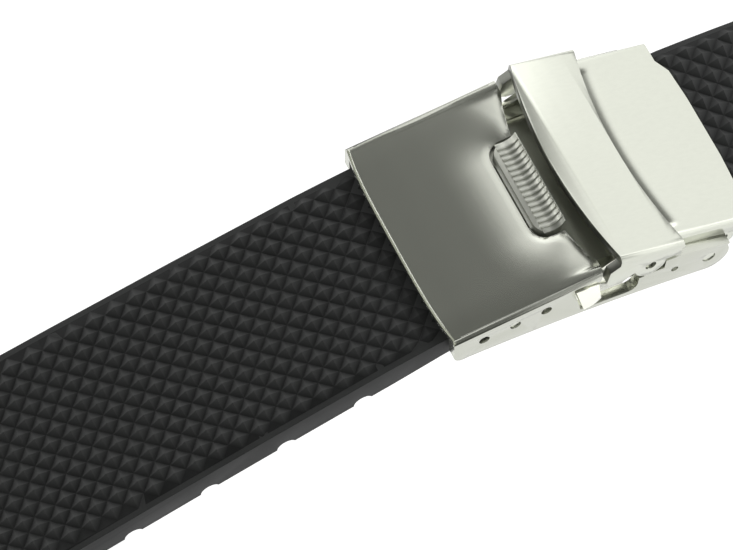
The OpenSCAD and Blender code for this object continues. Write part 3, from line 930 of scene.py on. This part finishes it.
def pyramid_tree() -> bpy.types.NodeTree:
    """The lattice of low square pyramids, as a Geometry Nodes tree.

    Returns:
        The tree, with inputs for the counts Along and Across, Half and Height of a pyramid, and Material.
    """
    tree = bpy.data.node_groups.new("pyramid_lattice", "GeometryNodeTree")
    face = tree.interface
    face.new_socket("Geometry", in_out="INPUT", socket_type="NodeSocketGeometry")
    face.new_socket("Geometry", in_out="OUTPUT", socket_type="NodeSocketGeometry")
    for name, kind in (("Along", "Int"), ("Across", "Int"), ("Half", "Float"), ("Height", "Float"),
                       ("Material", "Material")):
        face.new_socket(name, in_out="INPUT", socket_type="NodeSocket" + kind)
    put, link = tree.nodes.new, tree.links.new
    source, sink = put("NodeGroupInput"), put("NodeGroupOutput")

    def maths(kind: str, a: object, b: object) -> object:
        """Adds one Math node.

        Args:
            kind: Its operation.
            a: First number or output.
            b: Second number or output.

        Returns:
            Its output.
        """
        node = put("ShaderNodeMath")
        node.operation = kind
        for socket, value in zip(node.inputs, (a, b)):
            if isinstance(value, (int, float)):
                socket.default_value = value
            else:
                link(value, socket)
        return node.outputs[0]

    pitch = maths("MULTIPLY", source.outputs["Half"], 2.0)
    join = put("GeometryNodeJoinGeometry")
    for shift in (0.0, 0.5):
        grid = put("GeometryNodeMeshGrid")
        for count, axis in (("Along", "X"), ("Across", "Y")):
            steps = maths("SUBTRACT", source.outputs[count], 1)
            link(maths("MULTIPLY", pitch, steps), grid.inputs["Size " + axis])
            link(source.outputs[count], grid.inputs["Vertices " + axis])
        offset = put("ShaderNodeCombineXYZ")
        for axis in ("X", "Y"):
            link(maths("MULTIPLY", pitch, shift), offset.inputs[axis])
        move = put("GeometryNodeTransform")
        link(grid.outputs["Mesh"], move.inputs["Geometry"])
        link(offset.outputs[0], move.inputs["Translation"])
        link(move.outputs[0], join.inputs[0])
    cone = put("GeometryNodeMeshCone")
    cone.fill_type = "NONE"
    cone.inputs["Vertices"].default_value = 4
    cone.inputs["Radius Top"].default_value = 0.0
    link(source.outputs["Half"], cone.inputs["Radius Bottom"])
    link(source.outputs["Height"], cone.inputs["Depth"])
    stamp = put("GeometryNodeInstanceOnPoints")
    link(join.outputs[0], stamp.inputs["Points"])
    link(cone.outputs["Mesh"], stamp.inputs["Instance"])
    real = put("GeometryNodeRealizeInstances")
    link(stamp.outputs[0], real.inputs[0])
    paint = put("GeometryNodeSetMaterial")
    link(real.outputs[0], paint.inputs["Geometry"])
    link(source.outputs["Material"], paint.inputs["Material"])
    link(paint.outputs[0], sink.inputs[0])
    return tree


def set_input(modifier: bpy.types.Modifier, name: str, value: object) -> None:
    """Sets a Geometry Nodes input by its socket's identifier.

    Args:
        modifier: The Geometry Nodes modifier.
        name: The input's name.
        value: Its new value.
    """
    for item in modifier.node_group.interface.items_tree:
        if item.item_type == "SOCKET" and item.in_out == "INPUT" and item.name == name:
            modifier[item.identifier] = value
            return
    raise KeyError(name)


# Sub-assemblies


@dataclass
class Strap:
    """A rubber strap with a field of pyramids on its outer face, in millimetres.

    Up to its shoulder the strap is a tongue, and from widen_from on it widens towards the lugs. The
    pyramids' relief fades out towards the rims of the field, whose skirt dips into the strap.
    """

    name: str
    node: str
    body: str
    run: Run
    tree: bpy.types.NodeTree
    rubber: bpy.types.Material
    tongue_half: float
    shoulder: float
    widen_from: float
    field_from: float
    field_to: float
    tail_half: float = 9.6
    lug_half: float = 10.9
    border: float = 0.55
    half_diagonal: float = 1.06
    relief: float = 0.5
    fade: float = 0.7
    start_fade: float = 0.7
    skirt: float = 0.15
    spare_rows: int = 4
    merge_within: float = 0.01
    ridge_round: float = 0.2
    ridge_from: float = 20.0
    flat_within: float = 0.6
    edge_round: float = 0.7
    edge_from: float = 60.0
    edge_steps: int = 4
    sharp_from: float = 75.0
    # Crown levels for painted shade: middle on the plain faces, low so painted darker on the sides.
    plain_crown: float = 0.6
    shaded_side_crown: float = 0.15

    @property
    def field_long(self) -> float:
        """Length of the field."""
        return self.field_to - self.field_from

    def half(self, s: float) -> float:
        """Finds the strap's half width.

        Args:
            s: Length along the strap.

        Returns:
            The half width there.
        """
        if s < self.shoulder:
            return self.tongue_half
        f = min(max((s - self.widen_from) / (self.run.length - self.widen_from), 0.0), 1.0)
        return self.tail_half + (self.lug_half - self.tail_half) * f

    def at(self, s: float, y: float, h: float) -> Vector:
        """Finds a point by its place on the outer face.

        Args:
            s: Length along the strap.
            y: Place across it.
            h: Height above the face.

        Returns:
            The point in the row frame, in metres.
        """
        (x, z), up = self.run.frame(s)
        rise = self.run.thick(s) / 2 + h
        return LAY.world(x + up[0] * rise, y, z + up[1] * rise)

    def lattice(self) -> bpy.types.Object:
        """Makes the lattice of pyramids, flat and larger than the field.

        Returns:
            Its object, whose units are millimetres.
        """
        pitch = 2 * self.half_diagonal
        carrier = new_object(self.name + "_field", bpy.data.meshes.new("carrier"))
        nodes = carrier.modifiers.new("lattice", "NODES")
        nodes.node_group = self.tree
        set_input(nodes, "Along", int(self.field_long / pitch) + self.spare_rows)
        set_input(nodes, "Across", int(2 * (self.lug_half - self.border) / pitch) + self.spare_rows)
        set_input(nodes, "Half", self.half_diagonal)
        set_input(nodes, "Height", self.relief)
        set_input(nodes, "Material", self.rubber)
        apply_modifiers(carrier)
        return carrier

    def trim(self, bm: bmesh.types.BMesh) -> None:
        """Cuts the lattice to the field and fades its relief out towards the rims.

        Args:
            bm: The lattice, x along the strap and z above its face.
        """
        a, b = self.half(self.field_from) - self.border, self.half(self.field_to) - self.border
        edges = [((self.field_from, 0, 0), (-1, 0, 0)), ((self.field_to, 0, 0), (1, 0, 0))]
        for sign in (-1, 1):
            edges.append(((self.field_from, sign * a, 0), (-(b - a), sign * self.field_long, 0)))
        for place, out in edges:
            geom = bm.verts[:] + bm.edges[:] + bm.faces[:]
            way = Vector(out).normalized()
            bmesh.ops.bisect_plane(bm, geom=geom, plane_co=place, plane_no=way, clear_outer=True)
        for v in bm.verts:
            from_start, to_end = v.co.x - self.field_from, self.field_to - v.co.x
            side = a + (b - a) / self.field_long * from_start - abs(v.co.y)
            inside = min(side / self.fade, to_end / self.fade, from_start / self.start_fade)
            v.co.z *= min(max(inside, 0.0), 1.0)

    def close(self, bm: bmesh.types.BMesh) -> None:
        """Closes the field with a skirt and a floor.

        Args:
            bm: The trimmed lattice.
        """
        rim = [e for e in bm.edges if e.is_boundary]
        made = bmesh.ops.extrude_edge_only(bm, edges=rim)
        for v in made["geom"]:
            if isinstance(v, bmesh.types.BMVert):
                v.co.z = -self.skirt
        bmesh.ops.holes_fill(bm, edges=[e for e in bm.edges if e.is_boundary], sides=0)
        bmesh.ops.triangulate(bm, faces=[f for f in bm.faces if len(f.verts) > 4])

    def field(self) -> bpy.types.Object:
        """Makes the field of pyramids and wraps it on the outer face.

        Returns:
            Its object, closed, with the pyramids' height as its crown attribute, which paints shade into the
            valleys.
        """
        carrier = self.lattice()
        bm = bmesh.new()
        bm.from_mesh(carrier.data)
        bmesh.ops.remove_doubles(bm, verts=bm.verts, dist=self.merge_within)
        low = min(v.co.z for v in bm.verts)
        for v in bm.verts:
            v.co.x += (self.field_from + self.field_to) / 2
            v.co.z -= low
        self.trim(bm)
        self.close(bm)
        # Painted shade: the crown attribute is low in the valleys and high on the crowns.
        crown = bm.verts.layers.float.new(Rubber.crown)
        for v in bm.verts:
            v[crown] = min(max(v.co.z / self.relief, 0.0), 1.0)
            v.co = self.at(v.co.x, v.co.y, v.co.z)
        bmesh.ops.recalc_face_normals(bm, faces=bm.faces)
        bm.to_mesh(carrier.data)
        bm.free()
        bevel = carrier.modifiers.new("worn_ridges", "BEVEL")
        bevel.width = self.ridge_round * MM
        bevel.segments = 2
        bevel.limit_method = "ANGLE"
        bevel.angle_limit = math.radians(self.ridge_from)
        apply_modifiers(carrier)
        return carrier

    def build(self) -> None:
        """Builds the strap as one piece and hangs it on its body."""
        made = clean_copy(self.name, self.node, self.flat_within)
        soften(made, self.edge_round, self.edge_from, self.edge_steps)
        lattice = self.field()
        # Painted shade: the strap's sides get a low crown, so they are painted darker.
        sides = [abs(v.normal.y) > 0.5 for v in made.data.vertices]
        crowns = [self.shaded_side_crown if side else self.plain_crown for side in sides]
        made.data.attributes.new(Rubber.crown, "FLOAT", "POINT").data.foreach_set("value", crowns)
        bm = bmesh.new()
        bm.from_mesh(made.data)
        bm.from_mesh(lattice.data)
        bm.to_mesh(made.data)
        bm.free()
        bpy.data.objects.remove(lattice)
        made.data.materials.clear()
        made.data.materials.append(self.rubber)
        smooth(made.data, self.sharp_from)
        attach(made, self.body)
        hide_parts(self.node)
        log.info("%s: %d faces", self.name, len(made.data.polygons))


@dataclass
class Clasp:
    """The steel clasp: CAD solids with rounded edges and brushed finishes.

    The rounding gives each node its body and the width of its rounded edges, in millimetres.
    """

    finishes: dict[Slot, bpy.types.Material]
    special: dict[str, bpy.types.Material]
    slots: dict[str, Slot]
    rounding: dict[str, tuple[str, float]] = field(default_factory=lambda: {
        "cover": ("cover", 0.12),
        "safety_flap": ("safety_flap", 0.14),
        "button_front": ("button_front", 0.06),
        "button_rear": ("button_rear", 0.06),
        "thumb_pad": ("cover", 0.06),
        "middle_blade": ("middle_blade", 0.1),
        "lower_blade": ("lower_blade", 0.1),
    })
    pressings: dict[str, Pressed] = field(default_factory=lambda: {
        "cover": CoverPlate(),
        "safety_flap": FlapPlate(),
    })
    flat_within: float = 0.3
    forward_from: float = 0.35

    def mark_front_shade(self, made: bpy.types.Object) -> None:
        """Marks the faces of a piece that look forward for painted shade, which darkens them as if in
        shadow.

        Args:
            made: The piece.
        """
        way = LAY.way(-1, 0, 0)
        forward = [1.0 if f.normal.dot(way) > self.forward_from else 0.0 for f in made.data.polygons]
        made.data.attributes.new(Steel.cut, "FLOAT", "FACE").data.foreach_set("value", forward)

    def build(self) -> None:
        """Rounds, presses and dresses every steel node that shows."""
        for node, (body, width) in self.rounding.items():
            made = clean_copy(node + "_finished", node, self.flat_within)
            soften(made, width)
            if node in self.pressings:
                self.pressings[node].press(made)
            # Painted shade on the flap's forward faces, which lie in shadow.
            if node == "safety_flap":
                self.mark_front_shade(made)
            made.data.materials.clear()
            made.data.materials.append(self.special.get(node, self.finishes[self.slots[node]]))
            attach(made, body)
            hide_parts(node)
            log.info("%s: %d faces", made.name, len(made.data.polygons))


# Studio


@dataclass(frozen=True)
class SoftBox:
    """A soft light.

    The way that it shines from is an azimuth and an elevation in degrees, azimuth 0 being +X and 90
    being +Y. Distance and size are in metres. The glow is the radiance of its face, 1 being white.
    """

    name: str
    way: Point
    distance: float
    size: Point
    glow: float

    def hang(self, target: Vector) -> None:
        """Hangs the light.

        Args:
            target: The place that it faces, in metres.
        """
        data = bpy.data.lights.new(self.name, "AREA")
        data.shape = "RECTANGLE"
        data.size, data.size_y = self.size
        data.energy = self.glow * math.pi * self.size[0] * self.size[1]
        made = bpy.data.objects.new(self.name, data)
        bpy.context.scene.collection.objects.link(made)
        a, e = math.radians(self.way[0]), math.radians(self.way[1])
        back = Vector((math.cos(a) * math.cos(e), math.sin(a) * math.cos(e), math.sin(e)))
        made.location = target + back * self.distance
        made.rotation_mode = "QUATERNION"
        made.rotation_quaternion = back.to_track_quat("Z", "Y")


@dataclass
class Studio:
    """Floor, lights and camera of the portrait.

    Angles are in degrees, the scale is in pixels a millimetre, and the lens and sensor are in
    millimetres. The clasp's datum lands on the anchor pixel. The lights face the lit place of the side
    frame. The floor's sizes are in metres.
    """

    azimuth: float = -26.0
    elevation: float = 62.0
    scale: float = 11.33
    width: int = 733
    height: int = 550
    anchor_pixel: Point = (398.2, 248.2)
    lens: float = 300.0
    sensor: float = 36.0
    floor_half: float = 1.6
    floor_drop: float = 0.0004
    room_tone: tuple[float, float, float, float] = (0.98, 1.0, 0.95, 1.0)
    room_glow: float = 0.16
    lit: Triple = (12.0, 0.0, 2.0)
    boxes: tuple[SoftBox, ...] = (
        SoftBox("window", (12.0, 38.0), 0.6, (1.3, 0.6), 1.12),
        SoftBox("back", (95.0, 23.0), 0.7, (1.3, 0.64), 1.05),
        SoftBox("front", (-52.0, 20.0), 0.7, (0.5, 0.56), 1.25),
        SoftBox("left", (154.5, 11.0), 0.6, (0.3, 0.16), 3.6),
        SoftBox("near", (-92.0, 29.0), 0.75, (0.56, 0.7), 0.34),
    )

    def aim(self) -> None:
        """Places the camera so that the clasp's datum lands on its pixel of the photograph."""
        a, e = math.radians(self.azimuth), math.radians(self.elevation)
        back = Vector((math.sin(a) * math.cos(e), -math.cos(a) * math.cos(e), math.sin(e)))
        right = Vector((math.cos(a), math.sin(a), 0.0))
        up = back.cross(right)
        data = bpy.data.cameras.new("portrait")
        camera = bpy.data.objects.new("portrait", data)
        bpy.context.scene.collection.objects.link(camera)
        data.lens = self.lens
        data.sensor_width = self.sensor
        distance = self.width / self.scale / self.sensor * self.lens
        shift_x = (self.width / 2 - self.anchor_pixel[0]) / self.scale * MM
        shift_y = (self.anchor_pixel[1] - self.height / 2) / self.scale * MM
        target = LAY.world(0.0, 0.0, 0.0) + right * shift_x + up * shift_y
        camera.location = target + back * distance * MM
        camera.rotation_mode = "QUATERNION"
        camera.rotation_quaternion = Matrix((right, up, back)).transposed().to_quaternion()
        data.clip_start = 0.05
        data.clip_end = 20.0
        bpy.context.scene.camera = camera

    def floor(self) -> None:
        """Lays the pale floor."""
        bm = bmesh.new()
        size = self.floor_half
        corners = [(-size, -size), (size, -size), (size, size), (-size, size)]
        bm.faces.new([bm.verts.new((x, y, -self.floor_drop)) for x, y in corners])
        mesh = bpy.data.meshes.new("floor")
        bm.to_mesh(mesh)
        bm.free()
        made = new_object("floor", mesh)
        mesh.materials.append(Paper().build())

    def light(self) -> None:
        """Hangs the soft lights and sets the room's tone."""
        world = bpy.data.worlds.new("room")
        bpy.context.scene.world = world
        world.use_nodes = True
        shade = world.node_tree.nodes["Background"]
        shade.inputs["Color"].default_value = self.room_tone
        shade.inputs["Strength"].default_value = self.room_glow
        for box in self.boxes:
            box.hang(LAY.world(*self.lit))

    def build(self) -> None:
        """Makes the whole set."""
        bpy.context.scene.view_settings.view_transform = "Standard"
        self.floor()
        self.light()
        self.aim()


def make_finishes() -> dict[Slot, bpy.types.Material]:
    """Makes the material of each slot.

    Returns:
        The materials by slot.
    """
    return {
        Slot.RUBBER: Rubber().build(),
        Slot.SATIN: Steel("satin_brushed_steel", spread=0.015).build(),
        Slot.BLADE: Steel("plain_sheet_steel", roughness=0.33, scale=(90.0, 2600.0, 2600.0)).build(),
        Slot.PAD: Steel("ribbed_steel", roughness=0.46, tone=(0.6, 0.61, 0.55)).build(),
        Slot.SPRING: Steel("spring_wire_steel", roughness=0.25, tone=(0.45, 0.45, 0.45)).build(),
        Slot.BAR: Steel("turned_pin_steel", roughness=0.18, scale=(2600.0, 60.0, 2600.0)).build(),
    }


def special_steels() -> dict[str, bpy.types.Material]:
    """Makes the finishes of the nodes that depart from their slot's.

    Returns:
        The materials by node.
    """
    # Painted shade: the cover's steel has a darker tone than the rest, so its walls read darker.
    cover = Steel("polished_shaded_cover_steel", tone=(0.55, 0.56, 0.5), roughness=0.27, spread=0.0,
                  scale=(420.0, 24.0, 420.0), streak=0.03).build()
    # Painted highlight: the buttons' steel has a much lighter tone than the rest, so they read bright.
    button = Steel("polished_lit_button_steel", tone=(0.93, 0.94, 0.84), roughness=0.2, streak=0.01).build()
    return {"cover": cover, "button_front": button, "button_rear": button}


def main() -> None:
    """Builds the dressed strap and its studio."""
    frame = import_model()
    finishes = make_finishes()
    slots = {part["node"]: Slot(part["material_slot"]) for part in frame["record"]["subparts"]}
    for name, node in frame["nodes"].items():
        node.data.materials.clear()
        node.data.materials.append(finishes[slots[name]])
    tree, rubber = pyramid_tree(), finishes[Slot.RUBBER]
    Strap("strap_long_rubber", "strap_long", "strap_long", LONG_RUN, tree, rubber, tongue_half=9.6,
          shoulder=-1.0, widen_from=6.2, field_from=5.9, field_to=76.0, start_fade=2.6).build()
    Strap("strap_short_rubber", "strap_short", "strap_short", SHORT_RUN, tree, rubber, tongue_half=8.3,
          shoulder=1.55, widen_from=10.55, field_from=1.8, field_to=62.0).build()
    Clasp(finishes, special_steels(), slots).build()
    Studio().build()


if __name__ == "__main__":
    logging.basicConfig(level=logging.INFO)
    main()
